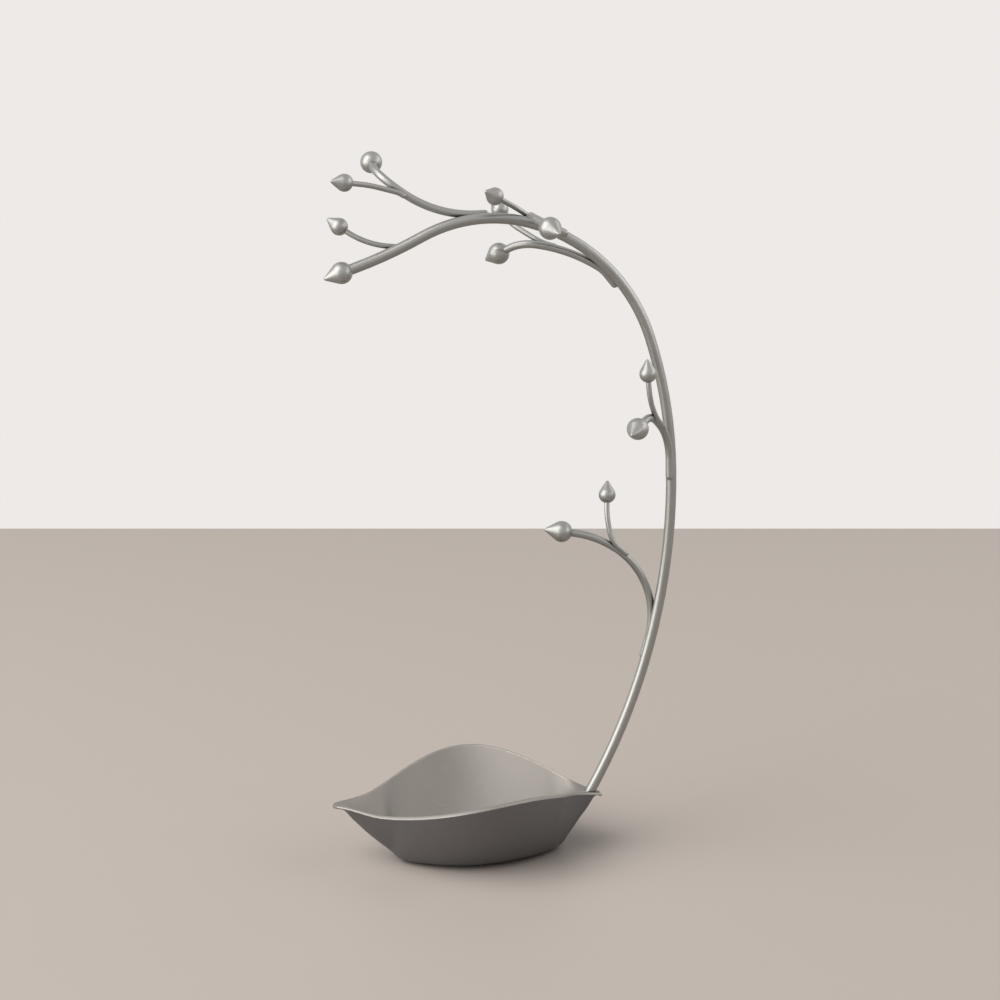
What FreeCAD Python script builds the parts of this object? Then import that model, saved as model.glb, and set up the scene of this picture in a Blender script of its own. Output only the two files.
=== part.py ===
import FreeCAD, Part
import Sketcher
import math
import os

# Jewelry tree: a leaf dish, an arched stem, forked wire branches and teardrop buds.
# Millimetres. +Z is up, +X points to the stem's foot, -Y to the viewer.
# The origin is the centre of the leaf on the plane the pad rests on.

Vector = FreeCAD.Vector
doc = FreeCAD.newDocument("jewelry_tree")
sheet = doc.addObject("Spreadsheet::Sheet", "sizes")

# Driving dimensions, in millimetres, degrees, or as shares of the leaf's half length.
sizes = {
    "leaf_half_length": 70.0,
    "leaf_half_width": 50.4,
    "leaf_power": 1.35,
    "tip_half_width": 3.0,
    "right_pinch": 0.2,
    "pinch_share": 0.6,
    "pinch_end_share": 0.85,
    "tip_round": 3.4,
    "tip_flare": 52.0,
    "rim_peak": 41.6,
    "rim_peak_share": 0.19,
    "rim_left": 28.6,
    "rim_right": 27.4,
    "rim_left_end_share": 0.74,
    "rim_right_end_share": 1.04,
    "rim_power": 1.5,
    "beak_rise": 1.5,
    "beak_share": 0.69,
    "wall": 2.4,
    "wall_bulge": 0.35,
    "lip_drop": 0.3,
    "lip_rise": 0.7,
    "lip_bulge": 0.25,
    "floor": 2.6,
    "flat_half_width": 20.4,
    "flat_power": 0.7,
    "left_flat_share": 0.58,
    "right_flat_share": 0.67,
    "flat_step": 0.5,
    "keel_half_width": 1.5,
    "keel_trim": 0.3,
    "left_lip": 1.6,
    "right_lip": 1.3,
    "tip_groove": 0.4,
    "nose_crown": 0.7,
    "nose_share": 0.05,
    "nose_blunt": 0.4,
    "keel_power": 1.15,
    "left_keel_share": 0.52,
    "left_keel_end_share": 0.93,
    "right_keel_share": 0.68,
    "right_keel_end_share": 0.95,
    "left_rise_share": 0.48,
    "right_rise_share": 0.62,
    "left_hollow_share": 0.93,
    "right_hollow_share": 0.83,
    "pad_thickness": 1.6,
    "pad_half_length": 34.0,
    "pad_half_width": 17.0,
    "pad_centre": 4.5,
    "foot_inset": 6.53,
    "foot_straight": 1.04,
    "foot_lean": 61.3,
    "foot_sink": 0.2,
    "seat_rim": 0.3,
    "seat_depth": 0.4,
    "stem_dia": 5.3,
    "rise_radius": 330.0,
    "rise_turn": 30.4,
    "waist_radius": 230.0,
    "waist_turn": 17.1,
    "shoulder_radius": 89.0,
    "shoulder_turn": 55.7,
    "crown_radius": 73.0,
    "crown_turn": 43.6,
    "end_radius": 242.0,
    "end_turn": 8.7,
    "end_straight": 6.0,
    "stud_dia": 3.0,
    "stud_in_dish": 6.0,
    "stud_in_stem": 8.0,
    "stud_chamfer": 0.4,
    "branch_dia": 3.95,
    "twig_dia": 2.65,
    "braze_sink": 0.7,
    "large_bud_dia": 10.8,
    "small_bud_dia": 8.6,
    "bud_reach": 1.68,
    "bud_tip": 0.9,
    "fit_clearance": 0.1,
}

# Bending table. Each wire: what it is brazed to, its thickness and bud, the bend of that piece that its foot is on
# and how far along it, the side it lies on, its straight lap, and its bends with the straight run after each.
# Sides and rolls are degrees from the outer side of the arch toward the viewer.
bending = {
    "top_branch": {
        "parent": "stem", "gauge": "branch", "bud": "large",
        "foot_bend": 4, "foot_along": 22.5, "side": -61, "lap": 3.8,
        "bends": [
            {"radius": 59.5, "turn": 37, "roll": -4, "run": 1.9},
            {"radius": 16.0, "turn": 82.5, "roll": -80, "run": 9.3},
        ],
    },
    "top_twig": {
        "parent": "top_branch", "gauge": "twig", "bud": "small",
        "foot_bend": 1, "foot_along": 37.7, "side": 112, "lap": 0.5,
        "bends": [
            {"radius": 10.5, "turn": 22, "roll": 150, "run": 8.3},
            {"radius": 47.0, "turn": 12.5, "roll": 127, "run": 7.9},
        ],
    },
    "end_twig": {
        "parent": "stem", "gauge": "twig", "bud": "small",
        "foot_bend": 5, "foot_along": 0.19, "side": -100, "lap": 5.0,
        "bends": [
            {"radius": 16.0, "turn": 33, "roll": 0, "run": 2.5},
            {"radius": 36.0, "turn": 34.5, "roll": -35, "run": 4.6},
        ],
    },
    "front_branch": {
        "parent": "stem", "gauge": "branch", "bud": "large",
        "foot_bend": 3, "foot_along": 70.26, "side": 72, "lap": 6.0,
        "bends": [
            {"radius": 15.0, "turn": 73.5, "roll": 91, "run": 4.0},
            {"radius": 18.0, "turn": 39.5, "roll": 97.5, "run": 13.0},
        ],
    },
    "crown_twig": {
        "parent": "stem", "gauge": "twig", "bud": "small",
        "foot_bend": 3, "foot_along": 71.76, "side": -73, "lap": 9.5,
        "bends": [
            {"radius": 24.0, "turn": 13.5, "roll": 60, "run": 5.5},
            {"radius": 24.0, "turn": 22, "roll": 102, "run": 11.0},
        ],
    },
    "back_branch": {
        "parent": "stem", "gauge": "branch", "bud": "large",
        "foot_bend": 3, "foot_along": 32.26, "side": 230, "lap": 6.0,
        "bends": [
            {"radius": 18.0, "turn": 23, "roll": 205, "run": 2.0},
            {"radius": 75.0, "turn": 21.5, "roll": 203, "run": 1.0},
            {"radius": 20.0, "turn": 44, "roll": 231, "run": 7.0},
        ],
    },
    "back_twig": {
        "parent": "back_branch", "gauge": "twig", "bud": "small",
        "foot_bend": 2, "foot_along": 20.7, "side": -64, "lap": 1.5,
        "bends": [
            {"radius": 22.5, "turn": 24.5, "roll": -43, "run": 10.4},
            {"radius": 20.5, "turn": 17.5, "roll": -27, "run": 7.7},
        ],
    },
    "shoulder_branch": {
        "parent": "stem", "gauge": "branch", "bud": "large",
        "foot_bend": 1, "foot_along": 172.0, "side": 118, "lap": 8.5,
        "bends": [
            {"radius": 24.0, "turn": 52.5, "roll": 134.5, "run": 3.0},
            {"radius": 17.0, "turn": 50.5, "roll": 121.5, "run": 11.7},
        ],
    },
    "shoulder_twig": {
        "parent": "shoulder_branch", "gauge": "twig", "bud": "small",
        "foot_bend": 1, "foot_along": 22.0, "side": 66, "lap": 4.7,
        "bends": [
            {"radius": 22.0, "turn": 46, "roll": -52, "run": 1.0},
            {"radius": 40.0, "turn": 7, "roll": -38, "run": 4.6},
        ],
    },
    "low_branch": {
        "parent": "stem", "gauge": "branch", "bud": "large",
        "foot_bend": 1, "foot_along": 76.0, "side": 265, "lap": 9.0,
        "bends": [
            {"radius": 44.0, "turn": 73.5, "roll": 180, "run": 1.0},
            {"radius": 54.0, "turn": 23, "roll": 180, "run": 5.8},
        ],
    },
    "low_twig": {
        "parent": "low_branch", "gauge": "twig", "bud": "small",
        "foot_bend": 1, "foot_along": 49.5, "side": 63.5, "lap": 5.0,
        "bends": [
            {"radius": 14.0, "turn": 41.5, "roll": -16, "run": 3.0},
            {"radius": 42.0, "turn": 14, "roll": -30, "run": 5.2},
        ],
    },
}

for name, wire in bending.items():
    for word in ("foot_along", "side", "lap"):
        sizes[name + "_" + word] = wire[word]
    for number, bend in enumerate(wire["bends"], 1):
        for word, value in bend.items():
            sizes["%s_%s_%d" % (name, word, number)] = value

for row, (alias, value) in enumerate(sizes.items(), 1):
    sheet.set("A%d" % row, alias)
    sheet.set("B%d" % row, str(value))
    sheet.setAlias("B%d" % row, alias)
doc.recompute()


def size(alias):
    return float(sheet.get(alias))


def cosine(degrees):
    return math.cos(math.radians(degrees))


def sine(degrees):
    return math.sin(math.radians(degrees))


def smooth(share):
    share = min(1.0, max(0.0, share))
    return share * share * (3.0 - 2.0 * share)


def aimed(point, along):
    return FreeCAD.Placement(point, FreeCAD.Rotation(Vector(0, 0, 1), along))


# Leaf dish: formulas of the distance along the leaf, x.
half_length = size("leaf_half_length")


def rise_share(x, begin, end):
    return smooth((abs(x) / half_length - begin) / (end - begin))


def leaf_half_width(x):
    swell = max(0.0, cosine(90.0 * x / half_length)) ** size("leaf_power")
    width = size("tip_half_width") + (size("leaf_half_width") - size("tip_half_width")) * swell
    if x > 0:
        width *= 1.0 - size("right_pinch") * rise_share(x, size("pinch_share"), size("pinch_end_share"))
    return width


def rim_height(x):
    peak_at = size("rim_peak_share") * half_length
    if x < peak_at:
        low = size("rim_left")
        reach = peak_at + size("rim_left_end_share") * half_length
    else:
        low = size("rim_right")
        reach = size("rim_right_end_share") * half_length - peak_at
    fall = max(0.0, cosine(90.0 * min(1.0, abs(x - peak_at) / reach))) ** size("rim_power")
    height = low + (size("rim_peak") - low) * fall
    if x < 0:
        begin = size("beak_share")
        height += size("beak_rise") * smooth((-x / half_length - begin) / (1.0 - begin))
    return height


def keel_height(x):
    side = "left" if x < 0 else "right"
    begin = size(side + "_keel_share")
    end = size(side + "_keel_end_share")
    share = min(1.0, max(0.0, (abs(x) / half_length - begin) / (end - begin))) ** size("keel_power")
    lowest = size("pad_thickness") - size("keel_trim")
    return lowest * (1.0 - share) + (rim_height(x) - size(side + "_lip")) * share


def hollow_height(x):
    if x < 0:
        share = rise_share(x, size("left_rise_share"), size("left_hollow_share"))
        end = rim_height(x) + size("nose_crown") * rise_share(x, size("left_hollow_share"), 1.0)
    else:
        share = rise_share(x, size("right_rise_share"), size("right_hollow_share"))
        end = rim_height(x) - size("tip_groove")
    deep = size("pad_thickness") + size("floor")
    return deep * (1.0 - share) + end * share


def flat_width(x):
    end = size("left_flat_share") if x < 0 else size("right_flat_share")
    share = min(1.0, abs(x) / half_length / end)
    swell = max(0.0, cosine(90.0 * share)) ** size("flat_power")
    return size("keel_half_width") + (size("flat_half_width") - size("keel_half_width")) * swell


def nose_depth(x):
    # Share of its full depth that the leaf keeps at x: it rounds off to a blunt end at either tip.
    share = max(0.0, (abs(x) / half_length - 1.0 + size("nose_share")) / size("nose_share"))
    return 1.0 - (1.0 - size("nose_blunt")) * share * share


def curve(points):
    bezier = Part.BezierCurve()
    bezier.setPoles(points)
    return bezier.toShape()


def leaf_section(x):
    outer = leaf_half_width(x)
    wall = size("wall") * outer / (outer + size("wall"))
    inner = outer - wall
    middle = (rim_height(x) + keel_height(x)) / 2.0
    depth = nose_depth(x)
    outer_rim = middle + (rim_height(x) - size("lip_drop") * wall / size("wall") - middle) * depth
    inner_rim = middle + (rim_height(x) + size("lip_rise") * wall / size("wall") - middle) * depth
    lip_normal = Vector(0, inner_rim - outer_rim, wall).normalize()
    keel = middle + (keel_height(x) - middle) * depth
    hollow = middle + (hollow_height(x) - middle) * depth
    flat = flat_width(x)
    inner_flat = min(flat - size("flat_step"), 0.6 * inner)
    outer_pull = flat + size("wall_bulge") * (outer - flat)
    inner_pull = inner_flat + size("wall_bulge") * (inner - inner_flat)

    def half(sign):
        outer_edge = Vector(x, sign * outer, outer_rim)
        inner_edge = Vector(x, sign * inner, inner_rim)
        bulge = Vector(0, sign * lip_normal.y, lip_normal.z) * (size("lip_bulge") * wall)
        outside = curve([Vector(x, sign * flat, keel), Vector(x, sign * outer_pull, keel), outer_edge])
        lip = Part.Arc(outer_edge, (outer_edge + inner_edge) * 0.5 + bulge, inner_edge).toShape()
        inside = curve([inner_edge, Vector(x, sign * inner_pull, hollow), Vector(x, sign * inner_flat, hollow)])
        return [outside, lip, inside]

    bottom = Part.LineSegment(Vector(x, -flat, keel), Vector(x, flat, keel)).toShape()
    top = Part.LineSegment(Vector(x, inner_flat, hollow), Vector(x, -inner_flat, hollow)).toShape()
    edges = [bottom] + half(1) + [top] + half(-1)[::-1]
    return Part.Wire(edges)


leaf_stations = [-1.0, -0.975, -0.95, -0.92, -0.88, -0.83, -0.76, -0.69, -0.64, -0.6, -0.57, -0.54, -0.48, -0.4, -0.32,
                 -0.16, 0.0, 0.16, 0.32, 0.48, 0.56, 0.62, 0.66, 0.69, 0.73, 0.78, 0.85, 0.9, 0.95, 0.975, 1.0]
sections = []
for number, share in enumerate(leaf_stations, 1):
    section = doc.addObject("Part::Feature", "leaf_section_%d" % number)
    section.Shape = leaf_section(share * half_length)
    sections.append(section)
leaf_loft = doc.addObject("Part::Loft", "leaf_loft")
leaf_loft.Sections = sections
leaf_loft.Solid = True
leaf_loft.Ruled = False

# Plan outline that rounds the two tips and cuts the resting face level; its sides stand clear of the leaf.
tip_centre = half_length - size("tip_round")
flare_out = Vector(sine(size("tip_flare")), cosine(size("tip_flare")), 0)
tangent_x = tip_centre + size("tip_round") * flare_out.x
tangent_y = size("tip_round") * flare_out.y
clear_y = 1.3 * size("leaf_half_width")
clear_x = tangent_x - (clear_y - tangent_y) / math.tan(math.radians(size("tip_flare")))
plan = [
    Part.Arc(Vector(tangent_x, -tangent_y, 0), Vector(half_length, 0, 0), Vector(tangent_x, tangent_y, 0)).toShape(),
    Part.LineSegment(Vector(tangent_x, tangent_y, 0), Vector(clear_x, clear_y, 0)).toShape(),
    Part.LineSegment(Vector(clear_x, clear_y, 0), Vector(-clear_x, clear_y, 0)).toShape(),
    Part.LineSegment(Vector(-clear_x, clear_y, 0), Vector(-tangent_x, tangent_y, 0)).toShape(),
    Part.Arc(Vector(-tangent_x, tangent_y, 0), Vector(-half_length, 0, 0), Vector(-tangent_x, -tangent_y, 0)).toShape(),
    Part.LineSegment(Vector(-tangent_x, -tangent_y, 0), Vector(-clear_x, -clear_y, 0)).toShape(),
    Part.LineSegment(Vector(-clear_x, -clear_y, 0), Vector(clear_x, -clear_y, 0)).toShape(),
    Part.LineSegment(Vector(clear_x, -clear_y, 0), Vector(tangent_x, -tangent_y, 0)).toShape(),
]
leaf_plan = doc.addObject("Part::Feature", "leaf_plan")
leaf_plan.Shape = Part.Wire(plan)
leaf_plan.Placement.Base = Vector(0, 0, size("pad_thickness"))
plan_block = doc.addObject("Part::Extrusion", "plan_block")
plan_block.Base = leaf_plan
plan_block.DirMode = "Custom"
plan_block.Dir = Vector(0, 0, 1)
plan_block.Solid = True
plan_block.setExpression("LengthFwd", "sizes.rim_peak * 1.5")
leaf_blank = doc.addObject("Part::Common", "leaf_blank")
leaf_blank.Base = leaf_loft
leaf_blank.Tool = plan_block

# The stem's foot stands square on a seat in the solid right tip, with a stud hole below it.
foot_x = half_length - size("foot_inset")
foot = Vector(foot_x, 0, rim_height(foot_x) - size("tip_groove") - size("foot_sink"))
foot_along = Vector(cosine(size("foot_lean")), 0, sine(size("foot_lean")))
seat = doc.addObject("Part::Cylinder", "seat")
seat.setExpression("Radius", "sizes.stem_dia / 2 + sizes.seat_rim")
seat.setExpression("Height", "sizes.seat_depth")
seat.Placement = aimed(foot - foot_along * size("seat_depth"), foot_along)
leaf_seated = doc.addObject("Part::Fuse", "leaf_seated")
leaf_seated.Base = leaf_blank
leaf_seated.Tool = seat
seat_cut = doc.addObject("Part::Cylinder", "seat_cut")
seat_cut.setExpression("Radius", "sizes.stem_dia / 2 + sizes.seat_rim")
seat_cut.setExpression("Height", "sizes.stem_dia * 2")
seat_cut.Placement = aimed(foot, foot_along)
leaf_faced = doc.addObject("Part::Cut", "leaf_faced")
leaf_faced.Base = leaf_seated
leaf_faced.Tool = seat_cut
dish_hole = doc.addObject("Part::Cylinder", "dish_hole")
dish_hole.setExpression("Radius", "(sizes.stud_dia + sizes.fit_clearance) / 2")
dish_hole.setExpression("Height", "sizes.stud_in_dish + sizes.stem_dia")
dish_hole.Placement = aimed(foot - foot_along * size("stud_in_dish"), foot_along)
leaf_dish = doc.addObject("Part::Cut", "leaf_dish")
leaf_dish.Base = leaf_faced
leaf_dish.Tool = dish_hole


def plane_of(body, role):
    for feature in body.Origin.OriginFeatures:
        if feature.Role == role:
            return feature
    raise ValueError(role)


def sketch_on(body, role, name):
    sketch = body.newObject("Sketcher::SketchObject", name)
    sketch.AttachmentSupport = [(plane_of(body, role), "")]
    sketch.MapMode = "FlatFace"
    return sketch


# Rubber pad under the dish.
dish_pad = doc.addObject("PartDesign::Body", "dish_pad")
pad_sketch = sketch_on(dish_pad, "XY_Plane", "pad_sketch")
pad_end = Vector(size("pad_half_length"), 0, 0)
pad_side = Vector(0, size("pad_half_width"), 0)
pad_sketch.addGeometry(Part.Ellipse(pad_end, pad_side, Vector(0, 0, 0)), False)
pad_sketch.exposeInternalGeometry(0)
pad_sketch.addConstraint(Sketcher.Constraint("Coincident", 0, 3, -1, 1))
pad_sketch.addConstraint(Sketcher.Constraint("Horizontal", 1))
pad_length = pad_sketch.addConstraint(Sketcher.Constraint("Distance", 1, 2.0 * size("pad_half_length")))
pad_sketch.setExpression("Constraints[%d]" % pad_length, "2 * sizes.pad_half_length")
pad_width = pad_sketch.addConstraint(Sketcher.Constraint("Distance", 2, 2.0 * size("pad_half_width")))
pad_sketch.setExpression("Constraints[%d]" % pad_width, "2 * sizes.pad_half_width")
pad_solid = dish_pad.newObject("PartDesign::Pad", "pad_solid")
pad_solid.Profile = pad_sketch
pad_solid.setExpression("Length", "sizes.pad_thickness")
dish_pad.setExpression("Placement.Base.x", "sizes.pad_centre")

# Paths: a path is a list of straight and bent moves, each kept with the frame it starts from.
# A frame is a point, the growth direction, the outer side of the arch, and the side toward the viewer.


def straight(frame, length):
    point, along, out, front = frame
    return point + along * length, along, out, front


def bent(frame, radius, turn, roll):
    point, along, out, front = frame
    toward = out * cosine(roll) + front * sine(roll)
    centre = point + toward * radius
    rotation = FreeCAD.Rotation(along.cross(toward), turn)
    return (centre + rotation.multVec(point - centre), rotation.multVec(along),
            rotation.multVec(out), rotation.multVec(front))


def bend_path(frame, lap, bends):
    moves = []
    edges = []

    def add_straight(frame, length):
        if length <= 0:
            return frame
        after = straight(frame, length)
        moves.append((frame, length, None))
        edges.append(Part.LineSegment(frame[0], after[0]).toShape())
        return after

    frame = add_straight(frame, lap)
    for radius, turn, roll, run in bends:
        middle = bent(frame, radius, turn / 2.0, roll)
        after = bent(frame, radius, turn, roll)
        moves.append((frame, radius * math.radians(turn), (radius, turn, roll)))
        edges.append(Part.Arc(frame[0], middle[0], after[0]).toShape())
        frame = add_straight(after, run)
    return moves, edges, frame


def frame_at(moves, bend_number, along):
    # The frame this far along from the start of a bend, counted from 1, on through the moves after it.
    bend_moves = [index for index, (frame, length, bend) in enumerate(moves) if bend]
    index = bend_moves[bend_number - 1]
    while along > moves[index][1] and index < len(moves) - 1:
        along -= moves[index][1]
        index += 1
    frame, length, bend = moves[index]
    if bend is None:
        return straight(frame, along)
    radius, turn, roll = bend
    return bent(frame, radius, turn * along / length, roll)


def swept(name, edges, frame, diameter_alias):
    path = doc.addObject("Part::Feature", name + "_path")
    path.Shape = Part.Wire(edges)
    circle = doc.addObject("Part::Circle", name + "_circle")
    circle.setExpression("Radius", "sizes.%s / 2" % diameter_alias)
    circle.Placement = aimed(frame[0], frame[1])
    sweep = doc.addObject("Part::Sweep", name + "_sweep")
    sweep.Sections = [circle]
    sweep.Spine = (path, ["Edge%d" % number for number in range(1, len(edges) + 1)])
    sweep.Solid = True
    sweep.Frenet = False
    return sweep


# Stem: a round rod, bent in one plane, with a blind stud hole in its foot.
stem_start = (foot, foot_along, Vector(foot_along.z, 0, -foot_along.x), Vector(0, -1, 0))
stem_bends = [
    (size("rise_radius"), size("rise_turn"), 180.0, 0.0),
    (size("waist_radius"), size("waist_turn"), 180.0, 0.0),
    (size("shoulder_radius"), size("shoulder_turn"), 180.0, 0.0),
    (size("crown_radius"), size("crown_turn"), 180.0, 0.0),
    (size("end_radius"), size("end_turn"), 0.0, size("end_straight")),
]
stem_moves, stem_edges, stem_end = bend_path(stem_start, size("foot_straight"), stem_bends)
stem_sweep = swept("stem", stem_edges, stem_start, "stem_dia")
stem_hole = doc.addObject("Part::Cylinder", "stem_hole")
stem_hole.setExpression("Radius", "(sizes.stud_dia + sizes.fit_clearance) / 2")
stem_hole.setExpression("Height", "sizes.stud_in_stem")
stem_hole.Placement = aimed(foot, foot_along)
stem_rod = doc.addObject("Part::Cut", "stem_rod")
stem_rod.Base = stem_sweep
stem_rod.Tool = stem_hole

# Stud that joins the stem to the dish.
stem_stud = doc.addObject("PartDesign::Body", "stem_stud")
stud_sketch = sketch_on(stem_stud, "XY_Plane", "stud_sketch")
stud_sketch.addGeometry(Part.Circle(Vector(0, 0, 0), Vector(0, 0, 1), size("stud_dia") / 2.0), False)
stud_sketch.addConstraint(Sketcher.Constraint("Coincident", 0, 3, -1, 1))
stud_size = stud_sketch.addConstraint(Sketcher.Constraint("Diameter", 0, size("stud_dia")))
stud_sketch.setExpression("Constraints[%d]" % stud_size, "sizes.stud_dia")
stud_solid = stem_stud.newObject("PartDesign::Pad", "stud_solid")
stud_solid.Profile = stud_sketch
stud_solid.setExpression("Length", "sizes.stud_in_dish + sizes.stud_in_stem")
doc.recompute()
stud_ends = stem_stud.newObject("PartDesign::Chamfer", "stud_ends")
ring_names = []
for number, edge in enumerate(stud_solid.Shape.Edges, 1):
    if len(edge.Vertexes) == 1:
        ring_names.append("Edge%d" % number)
stud_ends.Base = (stud_solid, ring_names)
stud_ends.setExpression("Size", "sizes.stud_chamfer")
stem_stud.Placement = aimed(foot - foot_along * size("stud_in_dish"), foot_along)


def make_bud(name, grade, bore_alias, frame):
    # A ball that runs on into a cone with a rounded tip, with a blind socket to the ball's centre.
    body = doc.addObject("PartDesign::Body", name)
    sketch = sketch_on(body, "XZ_Plane", name + "_sketch")
    ball = size(grade + "_bud_dia") / 2.0
    tip = size("bud_tip")
    reach = size("bud_reach") * ball
    bore = (size(bore_alias) + size("fit_clearance")) / 2.0
    tip_centre_height = reach - tip
    lift = math.asin((ball - tip) / tip_centre_height)
    out = Vector(math.cos(lift), math.sin(lift), 0)
    mouth = -math.acos(bore / ball)
    up = Vector(0, 0, 1)
    tip_middle = Vector(0, tip_centre_height, 0)
    ball_arc = Part.ArcOfCircle(Part.Circle(Vector(0, 0, 0), up, ball), mouth, lift)
    tip_arc = Part.ArcOfCircle(Part.Circle(tip_middle, up, tip), lift, math.pi / 2.0)
    outline = [
        ball_arc,
        Part.LineSegment(out * ball, tip_middle + out * tip),
        tip_arc,
        Part.LineSegment(Vector(0, reach, 0), Vector(0, 0, 0)),
        Part.LineSegment(Vector(0, 0, 0), Vector(bore, 0, 0)),
        Part.LineSegment(Vector(bore, 0, 0), Vector(bore, -math.sqrt(ball * ball - bore * bore), 0)),
    ]
    sketch.addGeometry(outline, False)
    sketch.addConstraint([
        Sketcher.Constraint("Coincident", 0, 3, -1, 1),
        Sketcher.Constraint("Tangent", 0, 2, 1, 1),
        Sketcher.Constraint("Tangent", 1, 2, 2, 1),
        Sketcher.Constraint("PointOnObject", 2, 3, -2),
        Sketcher.Constraint("Coincident", 2, 2, 3, 1),
        Sketcher.Constraint("PointOnObject", 3, 1, -2),
        Sketcher.Constraint("Coincident", 3, 2, -1, 1),
        Sketcher.Constraint("Coincident", 3, 2, 4, 1),
        Sketcher.Constraint("Horizontal", 4),
        Sketcher.Constraint("Coincident", 4, 2, 5, 1),
        Sketcher.Constraint("Vertical", 5),
        Sketcher.Constraint("Coincident", 5, 2, 0, 1),
    ])
    driven = [
        (Sketcher.Constraint("Radius", 0, ball), "sizes.%s_bud_dia / 2" % grade),
        (Sketcher.Constraint("Radius", 2, tip), "sizes.bud_tip"),
        (Sketcher.Constraint("DistanceY", -1, 1, 3, 1, reach), "sizes.bud_reach * sizes.%s_bud_dia / 2" % grade),
        (Sketcher.Constraint("DistanceX", -1, 1, 4, 2, bore), "(sizes.%s + sizes.fit_clearance) / 2" % bore_alias),
    ]
    for constraint, expression in driven:
        number = sketch.addConstraint(constraint)
        sketch.setExpression("Constraints[%d]" % number, expression)
    turned = body.newObject("PartDesign::Revolution", name + "_turned")
    turned.Profile = sketch
    turned.ReferenceAxis = (sketch, ["V_Axis"])
    turned.Angle = 360.0
    body.Placement = aimed(frame[0], frame[1])
    return body


nodes = [leaf_dish, dish_pad, stem_rod, stem_stud]
nodes.append(make_bud("stem_bud", "large", "stem_dia", stem_end))

# Branch and twig wires: a rounded heel, a straight lap against the parent, then the bends.
solids = {"stem": stem_rod}
paths = {"stem": stem_moves}
diameters = {"stem": "stem_dia"}
for name, wire in bending.items():
    parent = wire["parent"]
    diameter = wire["gauge"] + "_dia"
    point, along, out, front = frame_at(paths[parent], wire["foot_bend"], size(name + "_foot_along"))
    offset = (size(diameters[parent]) + size(diameter)) / 2.0 - size("braze_sink")
    toward = out * cosine(size(name + "_side")) + front * sine(size(name + "_side"))
    start = (point + toward * offset, along, out, front)
    bends = []
    for number in range(1, len(wire["bends"]) + 1):
        bends.append([size("%s_%s_%d" % (name, word, number)) for word in ("radius", "turn", "roll", "run")])
    moves, edges, end = bend_path(start, size(name + "_lap"), bends)
    sweep = swept(name, edges, start, diameter)
    heel = doc.addObject("Part::Sphere", name + "_heel")
    heel.setExpression("Radius", "sizes.%s / 2" % diameter)
    heel.Angle1 = -90.0
    heel.Angle2 = 0.0
    heel.Placement = aimed(start[0], start[1])
    rod = doc.addObject("Part::Fuse", name + "_rod")
    rod.Base = sweep
    rod.Tool = heel
    coped = doc.addObject("Part::Cut", name + "_wire")
    coped.Base = rod
    coped.Tool = solids[parent]
    solids[name] = coped
    paths[name] = moves
    diameters[name] = diameter
    nodes.append(coped)
    nodes.append(make_bud(name + "_bud", wire["bud"], diameter, end))

doc.recompute()

for item in doc.Objects:
    if "Invalid" in item.State or "Error" in item.State:
        raise RuntimeError("not built: " + item.Name)
os.makedirs("parts", exist_ok=True)
for node in nodes:
    shape = node.Shape
    if shape.isNull() or not shape.isValid() or len(shape.Solids) != 1:
        raise RuntimeError("bad shape: " + node.Label)
    shape.exportStep("parts/%s.step" % node.Label)
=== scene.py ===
import bpy
import math
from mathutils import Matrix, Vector

# Looks of the jewelry tree: satin plated metal, a rubber pad and a plain soft studio.
# Metres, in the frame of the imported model: +Z up, the viewer at -Y.

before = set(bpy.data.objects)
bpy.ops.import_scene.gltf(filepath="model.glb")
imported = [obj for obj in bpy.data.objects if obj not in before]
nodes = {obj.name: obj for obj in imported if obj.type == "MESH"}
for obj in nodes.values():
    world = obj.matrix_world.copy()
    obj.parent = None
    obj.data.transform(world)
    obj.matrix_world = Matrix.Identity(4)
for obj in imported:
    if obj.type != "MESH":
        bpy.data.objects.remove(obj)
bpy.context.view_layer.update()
scene = bpy.context.scene
scene.view_settings.view_transform = "Standard"


def linear(red, green, blue):
    """A written 0 to 255 screen colour as the linear colour that the shaders take."""
    channels = []
    for value in (red, green, blue):
        share = value / 255.0
        channels.append(share / 12.92 if share <= 0.04045 else ((share + 0.055) / 1.055) ** 2.4)
    return (*channels, 1.0)


# Camera, as fitted to the photo
LENS_MM = 75.0
SENSOR_MM = 36.0
CAMERA_PLACE = (-0.16964, -1.00308, 0.39233)
CAMERA_TILT = math.radians(78.5)
VIEW_TURN = math.radians(10.5)

# Floor, with the middle of its far edge
FLOOR_WIDTH = 7.0
FLOOR_DEPTH = 4.0
FLOOR_FAR_EDGE = (0.146, 0.771, -0.0001)
FLOOR_COLOUR = linear(189, 181, 175)
FLOOR_ROUGHNESS = 0.55

# Surroundings
BACKDROP = linear(238, 234, 231)
GLOW_TOWARD = (-0.62, -0.16, 0.77)
GLOW_START = 0.65
GLOW_FULL = 0.98
GLOW_DARK = linear(8, 8, 8)
GLOW_BRIGHT = linear(255, 251, 247)
GLOW_STRENGTH = 1.9

# Lamps: name, place, width, height and watts. All face the middle of the tree.
LAMPS = (
    ("key", (-1.60, -0.49, 1.65), 2.0, 2.0, 33.0),
    ("side", (-1.86, -0.48, 0.38), 2.1, 0.70, 13.0),
    ("fill", (1.70, 0.10, 1.20), 1.2, 1.2, 6.5),
    ("glint", (1.66, -0.94, 0.80), 0.35, 0.8, 3.0),
)
LAMP_TARGET = (0.02, 0.0, 0.18)
LAMP_COLOUR = (1.0, 0.98, 0.95)

# Sockets of the colour mix node, by number because its names repeat for other kinds of data
FIRST_COLOUR = 6
SECOND_COLOUR = 7
MIXED_COLOUR = 2

# Range that holds nearly all values of a noise
NOISE_LOW = 0.3
NOISE_HIGH = 0.7

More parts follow.
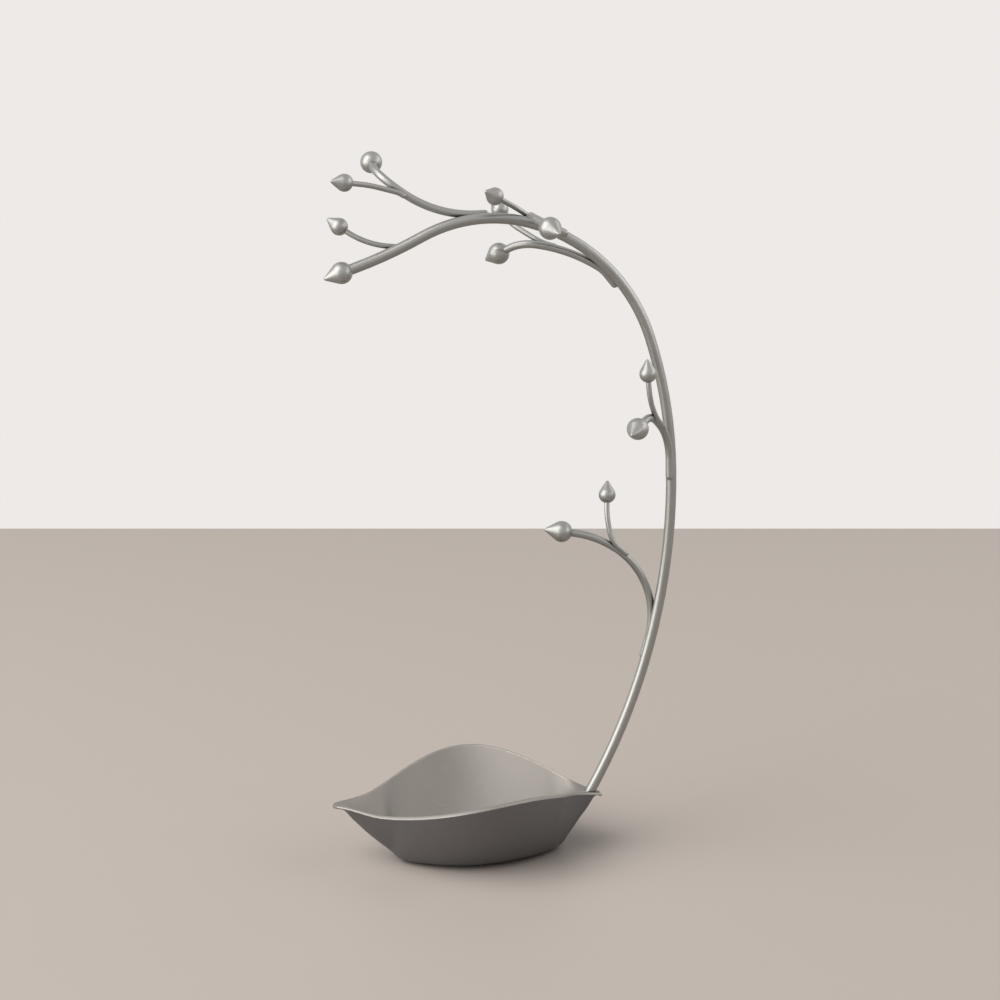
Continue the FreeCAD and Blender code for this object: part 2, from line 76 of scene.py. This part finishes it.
# How far a rounded normal strays from the true one where edge wear, and on metal the painted rim highlight,
# starts and where it is full
EDGE_START = 0.01
EDGE_FULL = 0.2
SURFACE_SAMPLES = 6

# Plated metal. Scales are in cells to a metre.
CLOUD_SCALE = 45.0
CLOUD_GLOSS = 0.02
BLAST_SCALE = 2600.0
BLAST_GLOSS = 0.015
GRAIN_SCALE = 5200.0
GRAIN_SHARE = 0.5
WEAR_AND_HIGHLIGHT_SCALE = 700.0
WEAR_AND_HIGHLIGHT_LEAST = 0.35
# Lighter tone of worn edges and scratches; on metal edges it is also a painted highlight along rims
WORN_AND_HIGHLIGHT_TONE = linear(195, 193, 188)
# Painted shade: a darker tone where ambient occlusion finds corners and crevices between parts, and how far it
# looks
CREVICE_SHADE_TONE = linear(70, 66, 61)
CREVICE_SHADE_REACH = 0.003
PLAIN_WHITE = linear(255, 255, 255)
METAL_BUMP_STRENGTH = 0.02
METAL_BUMP_HEIGHT = 0.00006

# Scratches: turn in degrees, and cells to a metre along and across them
SCRATCH_SETS = ((17.0, 90.0, 2400.0), (-38.0, 75.0, 2100.0), (71.0, 110.0, 2700.0))
SCRATCH_DEPTH_SCALE = 40.0
SCRATCH_TONE = 0.12
SCRATCH_GLOSS = 0.03
SCRATCH_DEPTH = 0.3


def add(tree, kind, values=None, **settings):
    """A new node with its settings, and its inputs set to values or joined to outputs."""
    made = tree.nodes.new(kind)
    for key, value in settings.items():
        setattr(made, key, value)
    for socket, value in (values or {}).items():
        if isinstance(value, bpy.types.NodeSocket):
            tree.links.new(value, made.inputs[socket])
        else:
            made.inputs[socket].default_value = value
    return made


def new_material(name):
    """A material with an empty surface shader, its node tree and that shader."""
    material = bpy.data.materials.new(name)
    material.use_nodes = True
    tree = material.node_tree
    tree.nodes.clear()
    surface = add(tree, "ShaderNodeBsdfPrincipled")
    add(tree, "ShaderNodeOutputMaterial", {"Surface": surface.outputs["BSDF"]})
    return material, tree, surface


def place_on_object(tree):
    return add(tree, "ShaderNodeTexCoord").outputs["Object"]


def noise(tree, place, scale, detail=2.0, roughness=0.5):
    values = {"Vector": place, "Scale": scale, "Detail": detail, "Roughness": roughness}
    return add(tree, "ShaderNodeTexNoise", values).outputs["Fac"]


def ramp(tree, value, low, high, to_low=0.0, to_high=1.0):
    """The value stretched from low..high to to_low..to_high, and held there."""
    values = {"Value": value, "From Min": low, "From Max": high, "To Min": to_low, "To Max": to_high}
    return add(tree, "ShaderNodeMapRange", values, clamp=True).outputs["Result"]


def spread(tree, value, to_low=0.0, to_high=1.0):
    """A noise value stretched over its usual range."""
    return ramp(tree, value, NOISE_LOW, NOISE_HIGH, to_low, to_high)


def math_node(tree, operation, first, second):
    return add(tree, "ShaderNodeMath", {0: first, 1: second}, operation=operation).outputs[0]


def dot(tree, first, second):
    values = {0: first, 1: second}
    return add(tree, "ShaderNodeVectorMath", values, operation="DOT_PRODUCT").outputs["Value"]


def blend(tree, share, first, second, how="MIX"):
    """Two colours mixed by a share."""
    values = {"Factor": share, FIRST_COLOUR: first, SECOND_COLOUR: second}
    return add(tree, "ShaderNodeMix", values, data_type="RGBA", blend_type=how).outputs[MIXED_COLOUR]


def true_normal(tree):
    return add(tree, "ShaderNodeNewGeometry").outputs["Normal"]


def looking_up(tree):
    """1 on a face that looks straight up and -1 on one that looks straight down."""
    return add(tree, "ShaderNodeSeparateXYZ", {0: true_normal(tree)}).outputs["Z"]


def edges(tree, radius):
    """0 on flat ground and 1 on a convex or concave edge tighter than the radius."""
    rounded = add(tree, "ShaderNodeBevel", {"Radius": radius}, samples=SURFACE_SAMPLES).outputs["Normal"]
    return ramp(tree, dot(tree, rounded, true_normal(tree)), 1.0 - EDGE_START, 1.0 - EDGE_FULL)


def stretched(tree, place, scale, turn):
    """Coordinates turned about Z and stretched, for marks that run one way."""
    values = {"Vector": place, "Rotation": (0.0, 0.0, math.radians(turn)), "Scale": scale}
    return add(tree, "ShaderNodeMapping", values).outputs["Vector"]


def scratches(tree, place):
    """Thin, broken, crossing lines on the faces that look up, where things are laid down."""
    total = None
    for turn, along, across in SCRATCH_SETS:
        marks = stretched(tree, place, (along, across, SCRATCH_DEPTH_SCALE), turn)
        lines = ramp(tree, noise(tree, marks, 1.0, 1.0), 0.68, 0.76)
        total = lines if total is None else math_node(tree, "MAXIMUM", total, lines)
    return math_node(tree, "MULTIPLY", total, ramp(tree, looking_up(tree), 0.25, 0.6))


def set_bump(tree, surface, strength, distance, height):
    values = {"Strength": strength, "Distance": distance, "Height": height}
    tree.links.new(add(tree, "ShaderNodeBump", values).outputs["Normal"], surface.inputs["Normal"])


def satin_metal(name, body, shade, roughness, edge=0.0006, polish=0.07, used=False, shaded_underside=None):
    """Bead-blasted and plated metal: cloudy tone, fine grain, brighter worn edges that are partly a painted
    highlight, and painted shade darkening corners.

    Used metal has scratches too. Where a tone for the underside is given, the faces that look down take that
    darker tone as painted shade.
    """
    material, tree, surface = new_material(name)
    place = place_on_object(tree)
    clouds = noise(tree, place, CLOUD_SCALE, 4.0, 0.55)
    blast = noise(tree, place, BLAST_SCALE, 2.0, 0.6)
    grain = noise(tree, place, GRAIN_SCALE, 1.0)
    tone = blend(tree, spread(tree, clouds), shade, body)
    # Painted shade: faces that look down take the given darker tone
    if shaded_underside is not None:
        tone = blend(tree, ramp(tree, looking_up(tree), -0.12, 0.12), shaded_underside, tone)
    # Edge mask: wear, and partly a painted highlight where the lighter tone brightens rims
    breakup = ramp(tree, noise(tree, place, WEAR_AND_HIGHLIGHT_SCALE, 3.0, 0.6), 0.3, 0.6, WEAR_AND_HIGHLIGHT_LEAST, 1.0)
    wear_and_highlight = math_node(tree, "MULTIPLY", edges(tree, edge), breakup)
    tone = blend(tree, wear_and_highlight, tone, WORN_AND_HIGHLIGHT_TONE)
    # Painted shade in corners and in crevices between parts
    values = {"Distance": CREVICE_SHADE_REACH}
    openness = add(tree, "ShaderNodeAmbientOcclusion", values, samples=SURFACE_SAMPLES).outputs["AO"]
    crevice_shade = blend(tree, ramp(tree, openness, 0.15, 0.75), CREVICE_SHADE_TONE, PLAIN_WHITE)
    tone = blend(tree, 1.0, tone, crevice_shade, "MULTIPLY")
    gloss = spread(tree, clouds, roughness - CLOUD_GLOSS, roughness + CLOUD_GLOSS)
    gloss = math_node(tree, "ADD", gloss, spread(tree, blast, -BLAST_GLOSS, BLAST_GLOSS))
    gloss = math_node(tree, "SUBTRACT", gloss, math_node(tree, "MULTIPLY", wear_and_highlight, polish))
    height = math_node(tree, "ADD", blast, math_node(tree, "MULTIPLY", grain, GRAIN_SHARE))
    if used:
        lines = scratches(tree, place)
        tone = blend(tree, math_node(tree, "MULTIPLY", lines, SCRATCH_TONE), tone, WORN_AND_HIGHLIGHT_TONE)
        gloss = math_node(tree, "SUBTRACT", gloss, math_node(tree, "MULTIPLY", lines, SCRATCH_GLOSS))
        height = math_node(tree, "SUBTRACT", height, math_node(tree, "MULTIPLY", lines, SCRATCH_DEPTH))
    tree.links.new(tone, surface.inputs["Base Color"])
    surface.inputs["Metallic"].default_value = 1.0
    tree.links.new(gloss, surface.inputs["Roughness"])
    set_bump(tree, surface, METAL_BUMP_STRENGTH, METAL_BUMP_HEIGHT, height)
    return material


def brushed_steel(name):
    """Bright turned steel with fine lines round its length."""
    material, tree, surface = new_material(name)
    lines = noise(tree, stretched(tree, place_on_object(tree), (90.0, 90.0, 6000.0), 0.0), 1.0, 2.0)
    tone = blend(tree, spread(tree, lines), linear(186, 187, 188), linear(204, 204, 204))
    tree.links.new(tone, surface.inputs["Base Color"])
    surface.inputs["Metallic"].default_value = 1.0
    tree.links.new(spread(tree, lines, 0.24, 0.36), surface.inputs["Roughness"])
    set_bump(tree, surface, 0.15, 0.00005, lines)
    return material


def pored_rubber(name):
    """Dark matte rubber with fine pores and paler scuffed edges."""
    material, tree, surface = new_material(name)
    place = place_on_object(tree)
    pores = noise(tree, place, 2600.0, 3.0, 0.7)
    clouds = noise(tree, place, 90.0, 3.0)
    tone = blend(tree, spread(tree, clouds), linear(30, 29, 28), linear(41, 40, 38))
    scuffs = math_node(tree, "MULTIPLY", edges(tree, 0.0005), 0.5)
    tone = blend(tree, scuffs, tone, linear(70, 68, 66))
    tree.links.new(tone, surface.inputs["Base Color"])
    tree.links.new(spread(tree, pores, 0.78, 0.95), surface.inputs["Roughness"])
    set_bump(tree, surface, 0.4, 0.0001, pores)
    return material


finishes = {
    # The dish's outside, which looks down, is painted darker: painted shade
    "dish_metal": satin_metal("dish_metal", linear(151, 148, 144), linear(144, 141, 137), 0.62,
                              edge=0.0012, polish=0.28, used=True, shaded_underside=linear(123, 122, 122)),
    "stem_metal": satin_metal("stem_metal", linear(161, 162, 160), linear(154, 155, 153), 0.38),
    "wire_metal": satin_metal("wire_metal", linear(161, 162, 160), linear(153, 154, 152), 0.38),
    "bud_metal": satin_metal("bud_metal", linear(163, 164, 162), linear(156, 157, 155), 0.40),
    "stud_steel": brushed_steel("stud_steel"),
    "pad_rubber": pored_rubber("pad_rubber"),
}
for node in nodes.values():
    slot = node.data.materials[0].name.split(".")[0]
    node.data.materials.clear()
    node.data.materials.append(finishes[slot])

# Plain floor, whose far edge is where the photo's pale background begins
bpy.ops.mesh.primitive_plane_add(size=1.0)
floor = bpy.context.object
floor.name = "floor"
floor.scale = (FLOOR_WIDTH, FLOOR_DEPTH, 1.0)
floor.rotation_euler.z = -VIEW_TURN
view_direction = Vector((math.sin(VIEW_TURN), math.cos(VIEW_TURN), 0.0))
floor.location = Vector(FLOOR_FAR_EDGE) - view_direction * (FLOOR_DEPTH / 2.0)
floor_material, floor_tree, floor_surface = new_material("floor")
floor_surface.inputs["Base Color"].default_value = FLOOR_COLOUR
floor_surface.inputs["Roughness"].default_value = FLOOR_ROUGHNESS
floor.data.materials.append(floor_material)

# Surroundings: camera, glossy and transmission rays see the plain backdrop. The rays that light the floor see
# a glow round the key lamp's direction and near darkness elsewhere, so that the floor keeps the tree's shadow.
world = bpy.data.worlds.new("studio")
scene.world = world
world.use_nodes = True
sky = world.node_tree
sky.nodes.clear()
rays = add(sky, "ShaderNodeLightPath").outputs
seen = math_node(sky, "MAXIMUM", rays["Is Camera Ray"], rays["Is Glossy Ray"])
seen = math_node(sky, "MAXIMUM", seen, rays["Is Transmission Ray"])
toward = add(sky, "ShaderNodeTexCoord").outputs["Generated"]
facing = ramp(sky, dot(sky, toward, GLOW_TOWARD), GLOW_START, GLOW_FULL)
values = {"Color": blend(sky, facing, GLOW_DARK, GLOW_BRIGHT), "Strength": GLOW_STRENGTH}
lit = add(sky, "ShaderNodeBackground", values).outputs["Background"]
shown = add(sky, "ShaderNodeBackground", {"Color": BACKDROP, "Strength": 1.0}).outputs["Background"]
surroundings = add(sky, "ShaderNodeMixShader", {0: seen, 1: lit, 2: shown}).outputs["Shader"]
add(sky, "ShaderNodeOutputWorld", {"Surface": surroundings})

# Lamps
for name, place, width, height, watts in LAMPS:
    lamp = bpy.data.lights.new(name, "AREA")
    lamp.shape = "RECTANGLE"
    lamp.size = width
    lamp.size_y = height
    lamp.energy = watts
    lamp.color = LAMP_COLOUR
    lamp_object = bpy.data.objects.new(name, lamp)
    lamp_object.location = place
    aim = Vector(LAMP_TARGET) - Vector(place)
    lamp_object.rotation_euler = aim.to_track_quat("-Z", "Y").to_euler()
    scene.collection.objects.link(lamp_object)

# Camera
camera_data = bpy.data.cameras.new("camera")
camera_data.lens = LENS_MM
camera_data.sensor_width = SENSOR_MM
camera = bpy.data.objects.new("camera", camera_data)
camera.location = CAMERA_PLACE
camera.rotation_euler = (CAMERA_TILT, 0.0, -VIEW_TURN)
scene.collection.objects.link(camera)
scene.camera = camera
